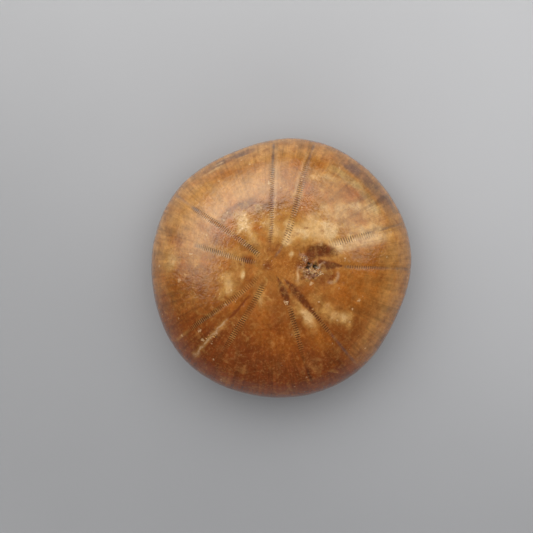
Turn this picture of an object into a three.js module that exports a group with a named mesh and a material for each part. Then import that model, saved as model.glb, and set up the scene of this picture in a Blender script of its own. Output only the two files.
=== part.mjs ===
// A fossil sand dollar: the stone-filled test of a heart-domed sea urchin, one natural piece.
// Millimetres, +Z up. The origin is below the middle of the outline, on the plane it rests on,
// and +Y points to the front of the animal, along the front petal.

import * as THREE from 'three';

// ---- Driving dimensions -------------------------------------------------------------------

const MEAN_RADIUS = 18.75; // of the widest outline
const HEIGHT = 16.0; // from the resting plane to the apex
const WIDEST_LEVEL = 6.2; // height at which the body is widest
const APEX = { x: -0.2, y: 1.9 }; // where the five petals meet, forward of the middle
const MOUTH = { x: 0.0, y: 0.9 }; // middle of the mouth, on the underside

const DOME_FULLNESS = 2.15; // superellipse exponents of the upper profile
const DOME_ROUNDNESS = 1.9;
const MARGIN_FULLNESS = 1.8; // superellipse exponents of the turn from margin to underside
const MARGIN_ROUNDNESS = 1.9;

// The outline is a circle with a few slow waves: share of the radius, lobes, bearing of a lobe.
const OUTLINE_WAVES = [
  { share: 0.0174, lobes: 2, bearing: -19.4 },
  { share: 0.0062, lobes: 3, bearing: -25.3 },
  { share: 0.0025, lobes: 4, bearing: -12.4 },
  { share: 0.0102, lobes: 5, bearing: 16.7 },
  { share: 0.0022, lobes: 6, bearing: 10.0 },
  { share: 0.0019, lobes: 8, bearing: -18.0 },
];

// Five petals, each between two rows of pores. A row leaves the apex turned by its twist and
// has reached its rim bearing at the widest outline. Bearings are counter-clockwise from +X.
const PORE_ROWS = [
  { rim: -137.0, twist: 20 }, // right rear petal
  { rim: -114.5, twist: 9 },
  { rim: -63.5, twist: 0 }, // left rear petal
  { rim: -44.0, twist: 13 },
  { rim: 11.5, twist: -30 }, // left front petal
  { rim: 30.0, twist: -6 },
  { rim: 82.0, twist: -8 }, // front petal
  { rim: 101.5, twist: 12 },
  { rim: 152.0, twist: 20 }, // right front petal
  { rim: 174.0, twist: 22 },
];
const GROOVE_HALF_WIDTH = 0.35; // of the shallow groove that holds a pore row
const GROOVE_DEPTH = 0.12;
const GROOVE_START = 0.06; // share of the way from apex to rim
const GROOVE_END_TURN = 35; // the grooves have faded out this far round the margin

const APICAL_DIMPLE = { radius: 0.8, depth: 0.22 };

// A broken hollow beside the apex, with a deeper pit in it.
const HOLLOW = { x: 2.8, y: -4.0, radius: 2.9, depth: 0.7 };
const PIT = { x: 2.5, y: -4.2, radius: 0.85, depth: 0.6 };
const HOLLOW_STEEP_BEARING = 27; // its wall is steep on this side and fades out opposite
const HOLLOW_FLOOR = { gentle: 0.1, steep: 0.62 }; // where the wall begins, as a share of the radius
const HOLLOW_TAIL = { bearing: -66, start: 5.6, widest: 7.6, end: 10.3, halfWidth: 0.7, depth: 0.2 };

// Underside
const LAND_OUTER = 0.66; // the flat ring it rests on, as shares of the outline's radius
const LAND_INNER = 0.52;
const UNDERSIDE_HOLLOW = 1.3; // how far the underside rises inside the ring
const MOUTH_PIT = { radius: 2.0, depth: 1.2 };
const FURROW_DEPTH = 0.35; // five food furrows run out from the mouth
const FURROW_HALF_ANGLE = 9;
const VENT = { across: 1.3, along: 1.9, share: 0.835, bearing: -90, depth: 1.3 };

// Mesh steps
const TOP_RINGS = 32;
const LAST_TOP_TURN = 89.9; // just above the widest outline, where the margin's first ring lies
const MARGIN_RINGS = 12;
const LAND_RINGS = 1;
const INNER_RINGS = 11;
const STEPS_ACROSS_PETAL = 4;
const STEPS_BETWEEN_PETALS = 9;
const WIDEST_SHOULDER = 0.25; // most that a groove's shoulder may take of the gap to the next row
const NARROWEST_SHARE = 0.1; // nearer the apex than this the grooves keep their angle
const SLOPE_STEP = 0.05; // degrees between the points that give a surface's slope

// ---- Small helpers ------------------------------------------------------------------------

const radians = THREE.MathUtils.degToRad;

function smoothStep(low, high, value) {
  return THREE.MathUtils.smoothstep(value, low, high);
}

// 1 in the middle, falling smoothly to 0 at the given distance.
function bump(distance, reach) {
  return 1 - smoothStep(0, reach, distance);
}

function angleBetween(a, b) {
  const turn = THREE.MathUtils.euclideanModulo(a - b + 180, 360) - 180;
  return Math.abs(turn);
}

// ---- Shape of the body --------------------------------------------------------------------

function outlineRadius(bearing) {
  let share = 1;
  for (const wave of OUTLINE_WAVES) {
    share += wave.share * Math.cos(wave.lobes * radians(bearing - wave.bearing));
  }
  return MEAN_RADIUS * share;
}

// A point a share of the way from a centre to the outline.
function planPoint(centre, share, bearing) {
  const radius = outlineRadius(bearing);
  return {
    x: centre.x * (1 - share) + share * radius * Math.cos(radians(bearing)),
    y: centre.y * (1 - share) + share * radius * Math.sin(radians(bearing)),
  };
}

// Upper surface: turn is 0 at the apex and 90 at the widest outline.
function upperShare(turn) {
  return Math.sin(radians(turn)) ** (2 / DOME_FULLNESS);
}

function upperPoint(turn, bearing) {
  const plan = planPoint(APEX, upperShare(turn), bearing);
  const rise = Math.max(Math.cos(radians(turn)), 0) ** (2 / DOME_ROUNDNESS);
  return new THREE.Vector3(plan.x, plan.y, WIDEST_LEVEL + (HEIGHT - WIDEST_LEVEL) * rise);
}

// Margin: turn is 0 at the widest outline and 90 where the body meets the resting plane.
function marginPoint(turn, bearing) {
  const inward = Math.max(Math.cos(radians(turn)), 0) ** (2 / MARGIN_FULLNESS);
  const share = LAND_OUTER + (1 - LAND_OUTER) * inward;
  const plan = planPoint(MOUTH, share, bearing);
  const drop = Math.sin(radians(turn)) ** (2 / MARGIN_ROUNDNESS);
  return new THREE.Vector3(plan.x, plan.y, WIDEST_LEVEL * (1 - drop));
}

// Underside inside the resting ring, a share of the way from the mouth to the outline.
function innerPoint(share, bearing) {
  const plan = planPoint(MOUTH, share, bearing);
  const fromMouth = share * MEAN_RADIUS;
  const along = share / LAND_INNER;
  const vault = UNDERSIDE_HOLLOW * 0.5 * (1 + Math.cos(Math.PI * along));
  const pit = MOUTH_PIT.depth * bump(fromMouth, MOUTH_PIT.radius);
  const furrow = FURROW_DEPTH * furrowShare(bearing) * Math.sin(Math.PI * along) ** 2;
  return new THREE.Vector3(plan.x, plan.y, vault + pit + furrow);
}

function furrowShare(bearing) {
  let share = 0;
  for (let row = 0; row < PORE_ROWS.length; row += 2) {
    const axis = (PORE_ROWS[row].rim + PORE_ROWS[row + 1].rim) / 2;
    share = Math.max(share, bump(angleBetween(bearing, axis), FURROW_HALF_ANGLE));
  }
  return share;
}

// ---- Features sunk into the upper surface and the margin --------------------------------------

function grooveDepth(share, acrossRow) {
  const fadeIn = smoothStep(0, GROOVE_START, share);
  return GROOVE_DEPTH * fadeIn * bump(acrossRow, GROOVE_HALF_WIDTH);
}

function hollowDepth(point) {
  const dx = point.x - HOLLOW.x;
  const dy = point.y - HOLLOW.y;
  const distance = Math.hypot(dx, dy);
  const bearing = THREE.MathUtils.radToDeg(Math.atan2(dy, dx));
  const steep = 0.5 + 0.5 * Math.cos(radians(bearing - HOLLOW_STEEP_BEARING));
  const wall = THREE.MathUtils.lerp(HOLLOW_FLOOR.gentle, HOLLOW_FLOOR.steep, steep) * HOLLOW.radius;
  const bowl = HOLLOW.depth * (1 - smoothStep(wall, HOLLOW.radius, distance));
  const pit = PIT.depth * bump(Math.hypot(point.x - PIT.x, point.y - PIT.y), PIT.radius);
  return bowl + pit + tailDepth(point);
}

// The hollow runs out along one pore row in a pointed tail.
function tailDepth(point) {
  const direction = radians(HOLLOW_TAIL.bearing);
  const dx = point.x - APEX.x;
  const dy = point.y - APEX.y;
  const along = dx * Math.cos(direction) + dy * Math.sin(direction);
  const across = Math.abs(dy * Math.cos(direction) - dx * Math.sin(direction));
  const taper = 1 - smoothStep(HOLLOW_TAIL.widest, HOLLOW_TAIL.end, along);
  const inside = smoothStep(HOLLOW_TAIL.start, HOLLOW_TAIL.widest, along);
  return HOLLOW_TAIL.depth * taper * inside * bump(across, HOLLOW_TAIL.halfWidth);
}

function dimpleDepth(point) {
  const distance = Math.hypot(point.x - APEX.x, point.y - APEX.y);
  return APICAL_DIMPLE.depth * bump(distance, APICAL_DIMPLE.radius);
}

// The vent is an oval pit in the rear margin, below the widest outline.
function ventDepth(point) {
  const middle = planPoint(MOUTH, VENT.share, VENT.bearing);
  const offset = Math.hypot((point.x - middle.x) / VENT.across, (point.y - middle.y) / VENT.along);
  return VENT.depth * bump(offset, 1);
}

// ---- Mesh ----------------------------------------------------------------------------------

// Bearings of the mesh lines at one share of the way from the apex to the rim: a line in the
// middle of each pore row, one on each shoulder, and even steps between neighbouring rows.
function meshLines(share) {
  const twistLeft = (1 - share) ** 3;
  const rows = PORE_ROWS.map((row) => row.rim + row.twist * twistLeft);
  const radius = MEAN_RADIUS * Math.max(share, NARROWEST_SHARE);
  const shoulder = THREE.MathUtils.radToDeg(GROOVE_HALF_WIDTH / radius);
  const lines = [];
  rows.forEach((bearing, index) => {
    const next = index + 1 < rows.length ? rows[index + 1] : rows[0] + 360;
    const steps = index % 2 === 0 ? STEPS_ACROSS_PETAL : STEPS_BETWEEN_PETALS;
    const reach = Math.min(shoulder, (next - bearing) * WIDEST_SHOULDER);
    lines.push({ bearing, acrossRow: 0 });
    for (let step = 0; step <= steps; step += 1) {
      const place = THREE.MathUtils.lerp(bearing + reach, next - reach, step / steps);
      lines.push({ bearing: place, acrossRow: GROOVE_HALF_WIDTH });
    }
  });
  return lines;
}

function surfaceNormal(surface, turn, bearing) {
  const step = SLOPE_STEP;
  const alongTurn = surface(turn + step, bearing).sub(surface(turn - step, bearing));
  const alongBearing = surface(turn, bearing + step).sub(surface(turn, bearing - step));
  return alongTurn.cross(alongBearing).normalize();
}

function upperRing(turn) {
  const share = upperShare(turn);
  return meshLines(share).map(({ bearing, acrossRow }) => {
    const point = upperPoint(turn, bearing);
    const sunk = grooveDepth(share, acrossRow) + hollowDepth(point) + dimpleDepth(point);
    return point.addScaledVector(surfaceNormal(upperPoint, turn, bearing), -sunk);
  });
}

function marginRing(turn) {
  return meshLines(1).map(({ bearing, acrossRow }) => {
    const point = marginPoint(turn, bearing);
    const fade = 1 - smoothStep(0, GROOVE_END_TURN, turn);
    const sunk = fade * grooveDepth(1, acrossRow) + ventDepth(point);
    return point.addScaledVector(surfaceNormal(marginPoint, turn, bearing), -sunk);
  });
}

function flatRing(share) {
  return meshLines(1).map(({ bearing }) => {
    const plan = planPoint(MOUTH, share, bearing);
    return new THREE.Vector3(plan.x, plan.y, 0);
  });
}

function innerRing(share) {
  return meshLines(1).map(({ bearing }) => innerPoint(share, bearing));
}

function bodyRings() {
  const rings = [];
  for (let ring = 1; ring <= TOP_RINGS; ring += 1) {
    rings.push(upperRing((LAST_TOP_TURN * ring) / TOP_RINGS));
  }
  for (let ring = 1; ring < MARGIN_RINGS; ring += 1) {
    rings.push(marginRing((90 * ring) / MARGIN_RINGS));
  }
  for (let ring = 0; ring <= LAND_RINGS; ring += 1) {
    rings.push(flatRing(THREE.MathUtils.lerp(LAND_OUTER, LAND_INNER, ring / LAND_RINGS)));
  }
  for (let ring = 1; ring < INNER_RINGS; ring += 1) {
    rings.push(innerRing(LAND_INNER * (1 - ring / INNER_RINGS)));
  }
  return rings;
}

// One closed skin: a fan at the apex, bands between rings and a fan in the mouth.
function closedGeometry(rings, topPoint, bottomPoint) {
  const count = rings[0].length;
  const points = [topPoint, ...rings.flat(), bottomPoint];
  const bottom = points.length - 1;
  const at = (ring, line) => 1 + ring * count + (line % count);
  const triangles = [];
  for (let line = 0; line < count; line += 1) {
    triangles.push(0, at(0, line), at(0, line + 1));
    triangles.push(bottom, at(rings.length - 1, line + 1), at(rings.length - 1, line));
    for (let ring = 0; ring + 1 < rings.length; ring += 1) {
      triangles.push(at(ring, line), at(ring + 1, line), at(ring + 1, line + 1));
      triangles.push(at(ring, line), at(ring + 1, line + 1), at(ring, line + 1));
    }
  }
  const geometry = new THREE.BufferGeometry().setFromPoints(points);
  geometry.setIndex(triangles);
  geometry.computeVertexNormals();
  return geometry;
}

// The outline's box is centred over the origin, and the resting ring stays on z = 0.
function centreOverOrigin(geometry) {
  geometry.computeBoundingBox();
  const middle = geometry.boundingBox.getCenter(new THREE.Vector3());
  geometry.translate(-middle.x, -middle.y, 0);
  return geometry;
}

function sandDollar() {
  const top = new THREE.Vector3(APEX.x, APEX.y, HEIGHT - APICAL_DIMPLE.depth);
  const bottom = innerPoint(0, 0);
  const geometry = centreOverOrigin(closedGeometry(bodyRings(), top, bottom));
  const material = new THREE.MeshStandardMaterial({ color: 0xb07f45, roughness: 0.3, metalness: 0 });
  const mesh = new THREE.Mesh(geometry, material);
  mesh.name = 'sand_dollar';
  return mesh;
}

const part = new THREE.Group();
part.add(sandDollar());

export default part;
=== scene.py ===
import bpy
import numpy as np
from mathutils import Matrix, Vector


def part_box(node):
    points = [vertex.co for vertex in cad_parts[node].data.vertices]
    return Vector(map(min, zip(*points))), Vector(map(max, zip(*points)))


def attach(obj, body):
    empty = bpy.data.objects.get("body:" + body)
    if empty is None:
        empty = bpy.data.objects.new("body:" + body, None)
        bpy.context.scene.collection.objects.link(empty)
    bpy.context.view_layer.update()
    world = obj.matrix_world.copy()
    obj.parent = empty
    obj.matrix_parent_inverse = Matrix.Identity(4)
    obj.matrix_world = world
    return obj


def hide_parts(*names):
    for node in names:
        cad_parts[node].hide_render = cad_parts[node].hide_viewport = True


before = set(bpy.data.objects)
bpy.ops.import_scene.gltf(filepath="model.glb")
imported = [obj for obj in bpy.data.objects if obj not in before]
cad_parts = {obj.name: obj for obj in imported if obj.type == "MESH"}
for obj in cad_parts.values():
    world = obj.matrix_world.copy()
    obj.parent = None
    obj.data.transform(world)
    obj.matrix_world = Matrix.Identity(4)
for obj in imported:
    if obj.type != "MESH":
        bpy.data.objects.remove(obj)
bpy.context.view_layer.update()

# A polished fossil sand dollar on a pale table with painted light falling off across it, in soft daylight
# from one side.
# Shapes are worked out in millimetres in the row frame and turned into metres at the end.
# +Z is up, +Y is the front of the animal. Bearings are in degrees, counter-clockwise from +X.

MM = 0.001
NODE = "sand_dollar"
BODY = "root"


# ---- Driving dimensions ----

# The outline, dome, margin, underside and course of the pore rows have the CAD part's own sizes.
# Its grooves are narrower and deeper than these, and its hollow and dimple are deeper: here the
# slits and the breakage are modelled one by one instead.
node_low, node_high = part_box(NODE)
MEAN_RADIUS = 18.75
HEIGHT = 16.0
WIDEST_LEVEL = 6.2
APEX = (-0.2, 1.9)
MOUTH = (0.0, 0.9)
DOME_FULLNESS = 2.15
DOME_ROUNDNESS = 1.9
MARGIN_FULLNESS = 1.8
MARGIN_ROUNDNESS = 1.9

# Share of the radius, number of lobes, bearing of a lobe.
OUTLINE_WAVES = [
    (0.0174, 2, -19.4),
    (0.0062, 3, -25.3),
    (0.0025, 4, -12.4),
    (0.0102, 5, 16.7),
    (0.0022, 6, 10.0),
    (0.0019, 8, -18.0),
]

# Pore rows, two to a petal: bearing at the rim, and the turn that is left at the apex.
ROW_RIMS = np.array([-137.0, -114.5, -63.5, -44.0, 11.5, 30.0, 82.0, 101.5, 152.0, 174.0])
ROW_TWISTS = np.array([20.0, 9.0, 0.0, 13.0, -30.0, -6.0, -8.0, 12.0, 20.0, 22.0])
REAR_RIGHT_A, REAR_RIGHT_B, REAR_LEFT_A, REAR_LEFT_B, FRONT_LEFT_A = range(5)
FRONT_LEFT_B, FRONT_A, FRONT_B, FRONT_RIGHT_A, FRONT_RIGHT_B = range(5, 10)

SLIT_PITCH = 0.325
SLIT_HALF_LENGTH = 0.40
SLIT_DEPTH = 0.06
GROOVE_HALF_WIDTH = 0.6
GROOVE_DEPTH = 0.03

RIPPLE = 0.015  # slow unevenness that polishing left
RIPPLE_LENGTH = 4.0
RIPPLE_SEED = 3

# Underside: the ring it rests on, as shares of the radius, and what is sunk inside and behind it.
LAND_OUTER = 0.66
LAND_INNER = 0.52
UNDERSIDE_HOLLOW = 1.3
MOUTH_DEPTH = 1.2
MOUTH_RADIUS = 2.0
FURROW_DEPTH = 0.35
FURROW_HALF_ANGLE = 9.0
VENT_SHARE = 0.835
VENT_BEARING = -90.0
VENT_DEPTH = 1.3
VENT_HALF_WIDTH = 1.3
VENT_HALF_LENGTH = 1.9

# Where the grooves of the pore rows set in near the apex, and where they fade below the rim.
GROOVE_START = (0.06, 0.16)
GROOVE_END_TURN = 35.0

# Mesh steps
SLIT_PROFILE = (1.0, 0.35, 0.0, 0.35)  # depth of the rings across one slit and its ridge
FIRST_RING_REACH = 0.25
MARGIN_LENGTH = 9.0  # taken as the way along the surface from the rim to the resting ring
MARGIN_RINGS = 28
LAND_RINGS = 4
INNER_RINGS = 24
ROW_OFFSETS = np.array([0.0, 0.35, 0.75, 1.0, 1.35])
STEPS_ACROSS_PETAL = 17
STEPS_BETWEEN_PETALS = 26
CROWDED_GAP = 3.2  # near the apex a row's lines take at most one part in this many of the gap
NEAREST_SHARE = 0.02
SLOPE_STEP = 0.05  # degrees between the points that give the surface's slope


# ---- Small helpers ----

def smooth_step(low, high, value):
    """0 up to the low value, 1 from the high value on, and a smooth rise between them."""
    t = np.clip((value - low) / (high - low), 0.0, 1.0)
    return t * t * (3.0 - 2.0 * t)


def bump(distance, reach):
    """1 in the middle, falling smoothly to 0 at the given distance."""
    return 1.0 - smooth_step(0.0, reach, distance)


def lerp(a, b, t):
    return a + (b - a) * t


def cos_deg(angle):
    return np.cos(np.radians(angle))


def sin_deg(angle):
    return np.sin(np.radians(angle))


def angle_between(a, b):
    """Angle between two bearings, in degrees, whichever is the larger."""
    return np.abs((a - b + 180.0) % 360.0 - 180.0)


def waves(points, wavelength, seed, count=14):
    """Smooth seeded ripples in space, about -1 to 1."""
    draw = np.random.default_rng(seed)
    directions = draw.normal(size=(count, 3))
    directions /= np.linalg.norm(directions, axis=1)[:, None]
    lengths = wavelength * draw.uniform(0.7, 1.5, count)
    phases = draw.uniform(0.0, 2.0 * np.pi, count)
    total = np.zeros(points.shape[:-1])
    for direction, length, phase in zip(directions, lengths, phases):
        total += np.cos(points @ direction * (2.0 * np.pi / length) + phase)
    return total / np.sqrt(count)


# ---- Shape of the body ----

def outline_radius(bearing):
    share = np.ones_like(bearing)
    for amount, lobes, lobe_bearing in OUTLINE_WAVES:
        share = share + amount * cos_deg(lobes * (bearing - lobe_bearing))
    return MEAN_RADIUS * share


def plan_point(centre, share, bearing, level):
    radius = outline_radius(bearing)
    x = centre[0] * (1.0 - share) + share * radius * cos_deg(bearing)
    y = centre[1] * (1.0 - share) + share * radius * sin_deg(bearing)
    return np.stack([x, y, level + 0.0 * x], axis=-1)


def upper_share(turn):
    return np.clip(sin_deg(turn), 0.0, None) ** (2.0 / DOME_FULLNESS)


def upper_point(turn, bearing):
    rise = np.clip(cos_deg(turn), 0.0, None) ** (2.0 / DOME_ROUNDNESS)
    return plan_point(APEX, upper_share(turn), bearing, lerp(WIDEST_LEVEL, HEIGHT, rise))


def margin_point(turn, bearing):
    inward = np.clip(cos_deg(turn), 0.0, None) ** (2.0 / MARGIN_FULLNESS)
    drop = np.clip(sin_deg(turn), 0.0, None) ** (2.0 / MARGIN_ROUNDNESS)
    share = lerp(LAND_OUTER, 1.0, inward)
    return plan_point(MOUTH, share, bearing, WIDEST_LEVEL * (1.0 - drop))


def furrow_share(bearing):
    share = np.zeros_like(bearing)
    for axis in (ROW_RIMS[0::2] + ROW_RIMS[1::2]) / 2.0:
        share = np.maximum(share, bump(angle_between(bearing, axis), FURROW_HALF_ANGLE))
    return share


def inner_point(share, bearing):
    along = share / LAND_INNER
    vault = UNDERSIDE_HOLLOW * 0.5 * (1.0 + np.cos(np.pi * along))
    pit = MOUTH_DEPTH * bump(share * MEAN_RADIUS, MOUTH_RADIUS)
    furrow = FURROW_DEPTH * furrow_share(bearing) * np.sin(np.pi * along) ** 2
    return plan_point(MOUTH, share, bearing, vault + pit + furrow)


def surface_normal(surface, turn, bearing):
    step = SLOPE_STEP
    along = surface(np.minimum(turn + step, 90.0), bearing) - surface(turn - step, bearing)
    around = surface(turn, bearing + step) - surface(turn, bearing - step)
    normal = np.cross(along, around)
    return normal / np.linalg.norm(normal, axis=-1, keepdims=True)


# ---- Features sunk into the surface ----

# How each row's slits show: where along the row they start and end, how strongly, how far they
# stand in two strands, and their length against the mean.
SLIT_SHOW = np.array([
    (0.30, 0.72, 0.9, 1.0, 0.9),
    (0.42, 0.72, 0.7, 0.5, 0.8),
    (0.50, 0.84, 0.6, 0.0, 0.6),
    (0.42, 0.80, 0.9, 0.0, 1.2),
    (0.14, 0.84, 0.9, 1.0, 1.1),
    (0.14, 0.88, 0.8, 0.0, 0.8),
    (0.08, 0.84, 1.0, 1.0, 1.0),
    (0.08, 0.66, 1.0, 0.0, 0.9),
    (0.12, 0.84, 0.8, 0.3, 0.8),
    (0.14, 0.74, 1.0, 1.0, 1.0),
])


def row_bearings(share):
    """Bearing of each pore row at each share: one column for each row."""
    return ROW_RIMS + ROW_TWISTS * ((1.0 - share) ** 3)[..., None]


def slit_show(point, share, row):
    patchy = lerp(0.5, 1.0, smooth_step(-0.7, 0.3, waves(point, 2.0, 16)))
    start, end, amount = SLIT_SHOW[row, :3].T
    run = smooth_step(start, start + 0.06, share) * (1.0 - smooth_step(end - 0.12, end, share))
    return amount * patchy * run


def across_course(share, bearing, rim, twist):
    """Signed distance from a line that runs down the dome as a pore row does."""
    course = rim + twist * (1.0 - share) ** 3
    turned = (bearing - course + 180.0) % 360.0 - 180.0
    return np.radians(turned) * share * MEAN_RADIUS


# Two dark wedges at the head of the right rear petal's rows: row, start, widest, end, half width.
WEDGES = [
    (REAR_RIGHT_A, 0.08, 0.24, 0.36, 0.62),
    (REAR_RIGHT_B, 0.13, 0.27, 0.62, 0.66),
]
WEDGE_DEPTH = 0.05


def wedge_mask(share, bearing):
    total = np.zeros_like(share)
    for row, start, widest, end, half_width in WEDGES:
        across = np.abs(across_course(share, bearing, ROW_RIMS[row], ROW_TWISTS[row]))
        swell = smooth_step(start, widest, share) * (1.0 - smooth_step(widest, end, share))
        lens = 1.0 - smooth_step(0.45, 1.25, across / (half_width * swell + 0.02))
        total = np.maximum(total, lens * smooth_step(0.0, 0.15, swell))
    return total


# A crack runs down the middle of the right front petal: a dark crease, then an open pale crack.
CRACK_RIM = 163.0
CRACK_TWIST = 22.0
CREASE = (0.24, 0.56)
CRACK = (0.50, 0.94)
CRACK_DEPTH = 0.1
CREASE_DEPTH = 0.06
NEST = 0.70


def along_run(share, run, fade):
    return smooth_step(run[0], run[0] + fade, share) * (1.0 - smooth_step(run[1] - fade, run[1], share))


def crack_distance(point, share, bearing):
    wander = 0.09 * waves(point, 1.5, 41) * smooth_step(0.2, 0.5, share)
    return across_course(share, bearing, CRACK_RIM, CRACK_TWIST) + wander


def crack_depth(point, share, bearing):
    across = np.abs(crack_distance(point, share, bearing))
    crease = CREASE_DEPTH * along_run(share, CREASE, 0.08) * bump(across, 0.5)
    crack = CRACK_DEPTH * along_run(share, CRACK, 0.08) * bump(across, 0.5)
    return crease + crack + 0.06 * nest_mask(point, share, bearing) * waves(point, 0.5, 13)


def nest_mask(point, share, bearing):
    return bump(np.abs(share - NEST), 0.10) * bump(np.abs(crack_distance(point, share, bearing)), 1.2)


# The broken hollow. Its own axes: "out" runs away from the apex and "side" to the steep wall.
# A smooth wall curves over it like a brow. Under the brow lie a ledge and the broken floor, and a
# dark tail runs outwards along the pore row.
HOLLOW = (2.5, -4.15)
HOLLOW_OUT = -63.0
HOLLOW_MIDDLE = (0.2, 0.2)
HOLLOW_RADII = (2.9, 3.0)
HOLLOW_DEPTH = 0.42
BROW_MIDDLE = (0.35, 2.1)
BROW_RADII = (3.0, 1.2)
BROW_TURN = 18.0
PITS = ((-1.0, -0.25, 0.30), (0.05, -0.15, 0.46), (-0.85, 0.35, 0.22))
PIT_DEPTH = 0.5
TAIL_RUN = (0.0, 0.7, 4.0)
TAIL_HALF_WIDTH = 1.05
TAIL_DEPTH = 0.03


def hollow_axes(point):
    dx = point[..., 0] - HOLLOW[0]
    dy = point[..., 1] - HOLLOW[1]
    out = dx * cos_deg(HOLLOW_OUT) + dy * sin_deg(HOLLOW_OUT)
    side = dy * cos_deg(HOLLOW_OUT) - dx * sin_deg(HOLLOW_OUT)
    return out, side


def hollow_reach(point):
    """Distance from the hollow's middle as a share of its radii."""
    out, side = hollow_axes(point)
    ragged = 1.0 + 0.07 * waves(point, 1.6, 14)
    out_share = (out - HOLLOW_MIDDLE[0]) / HOLLOW_RADII[0]
    side_share = (side - HOLLOW_MIDDLE[1]) / HOLLOW_RADII[1]
    return ragged * np.hypot(out_share, side_share)


def brow_reach(point):
    """Distance from the brow's bent middle line as a share of its radii."""
    out, side = hollow_axes(point)
    u = out - BROW_MIDDLE[0]
    v = side - BROW_MIDDLE[1]
    along = u * cos_deg(BROW_TURN) + v * sin_deg(BROW_TURN)
    across = v * cos_deg(BROW_TURN) - u * sin_deg(BROW_TURN)
    bent = across + 0.16 * along ** 2
    return np.hypot(along / BROW_RADII[0], bent / BROW_RADII[1]) * (1.0 + 0.06 * waves(point, 1.3, 47))


def pit_mask(point):
    out, side = hollow_axes(point)
    total = np.zeros_like(out)
    for at, off, radius in PITS:
        away = np.hypot((out - at) / 1.25, side - off) * (1.0 + 0.2 * waves(point, 0.8, 15))
        total = np.maximum(total, bump(away, radius * 1.5))
    return total


def hollow_depth(point):
    """A steep wall towards "side" and a floor that rises gently to the other side."""
    out, side = hollow_axes(point)
    reach = hollow_reach(point)
    steep = smooth_step(-0.3, 0.7, (side - HOLLOW_MIDDLE[1]) / np.maximum(np.hypot(out, side), 0.3))
    bowl = HOLLOW_DEPTH * (1.0 - smooth_step(lerp(-0.4, 0.60, steep), 1.06, reach))
    rough = 0.06 * waves(point, 0.55, 12) * floor_mask(point)
    return bowl + PIT_DEPTH * pit_mask(point) + rough + TAIL_DEPTH * tail_mask(point)


def floor_mask(point):
    """The broken floor, below the brow and up to the tail."""
    out, side = hollow_axes(point)
    reach = np.hypot((out + 0.60) / 2.0, (side + 0.40) / 1.7) * (1.0 + 0.14 * waves(point, 1.1, 49))
    below_brow = smooth_step(0.7, 1.2, brow_reach(point))
    return (1.0 - smooth_step(0.60, 1.1, reach)) * below_brow * (1.0 - tail_mask(point))


def tail_mask(point):
    out, side = hollow_axes(point)
    start, widest, end = TAIL_RUN
    taper = 1.0 - np.clip((out - widest) / (end - widest), 0.0, 1.0)
    width = TAIL_HALF_WIDTH * np.maximum(taper ** 0.8, 0.04)
    edge = 1.0 - smooth_step(0.55, 1.15, np.abs(side - 0.08 * taper) / width)
    return smooth_step(start, widest, out) * smooth_step(0.0, 0.12, taper) * edge


# A dimple at the apex, with four small pores round it.
DIMPLE_RADIUS = 0.9
DIMPLE_DEPTH = 0.05
GENITAL_PORES = (45.0, 128.0, -20.0, -150.0)
GENITAL_PORE_REACH = 0.62
GENITAL_PORE_RADIUS = 0.16
GENITAL_PORE_DEPTH = 0.06


def dimple_depth(point):
    dx = point[..., 0] - APEX[0]
    dy = point[..., 1] - APEX[1]
    depth = DIMPLE_DEPTH * bump(np.hypot(dx, dy), DIMPLE_RADIUS)
    for bearing in GENITAL_PORES:
        pore_x = GENITAL_PORE_REACH * cos_deg(bearing)
        pore_y = GENITAL_PORE_REACH * sin_deg(bearing)
        depth = depth + GENITAL_PORE_DEPTH * bump(np.hypot(dx - pore_x, dy - pore_y), GENITAL_PORE_RADIUS)
    return depth


def vent_depth(point):
    middle = plan_point(MOUTH, np.array(VENT_SHARE), np.array(VENT_BEARING), 0.0)
    across = (point[..., 0] - middle[0]) / VENT_HALF_WIDTH
    along = (point[..., 1] - middle[1]) / VENT_HALF_LENGTH
    return VENT_DEPTH * bump(np.hypot(across, along), 1.0)


# ---- Mesh of the body ----

def mesh_lines(share):
    """Bearings of the mesh lines at one share, with each line's nearest row and how far it is
    from that row's middle, in half slit lengths."""
    rows = row_bearings(np.array(share))
    radius = MEAN_RADIUS * max(share, NEAREST_SHARE)
    half_slit = np.degrees(SLIT_HALF_LENGTH / radius)
    bearings, nearest, across = [], [], []
    for index, bearing in enumerate(rows):
        following = rows[index + 1] if index < 9 else rows[0] + 360.0
        gap = following - bearing
        steps = STEPS_ACROSS_PETAL if index % 2 == 0 else STEPS_BETWEEN_PETALS
        reach = min(half_slit, gap / CROWDED_GAP)
        offsets = ROW_OFFSETS * reach
        left = bearing + offsets
        right = (following - offsets[1:])[::-1]
        between = np.linspace(left[-1], right[0], steps + 1)[1:-1]
        line = np.concatenate([left, between, right])
        bearings.append(line)
        nearer_first = (line - bearing) <= (following - line)
        nearest.append(np.where(nearer_first, index, (index + 1) % 10))
        across.append(np.minimum(line - bearing, following - line) / reach)
    return np.concatenate(bearings), np.concatenate(nearest), np.concatenate(across)


def turns_by_length():
    """Turns from the apex to the rim, evenly spaced along the surface."""
    turn = np.linspace(0.0, 90.0, 4001)
    across = MEAN_RADIUS * upper_share(turn)
    rise = (HEIGHT - WIDEST_LEVEL) * cos_deg(turn).clip(0.0) ** (2.0 / DOME_ROUNDNESS)
    length = np.concatenate([[0.0], np.cumsum(np.hypot(np.diff(across), np.diff(rise)))])
    step = SLIT_PITCH / len(SLIT_PROFILE)
    wanted = np.arange(FIRST_RING_REACH, length[-1], step)
    return np.interp(wanted, length, turn), wanted


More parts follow.
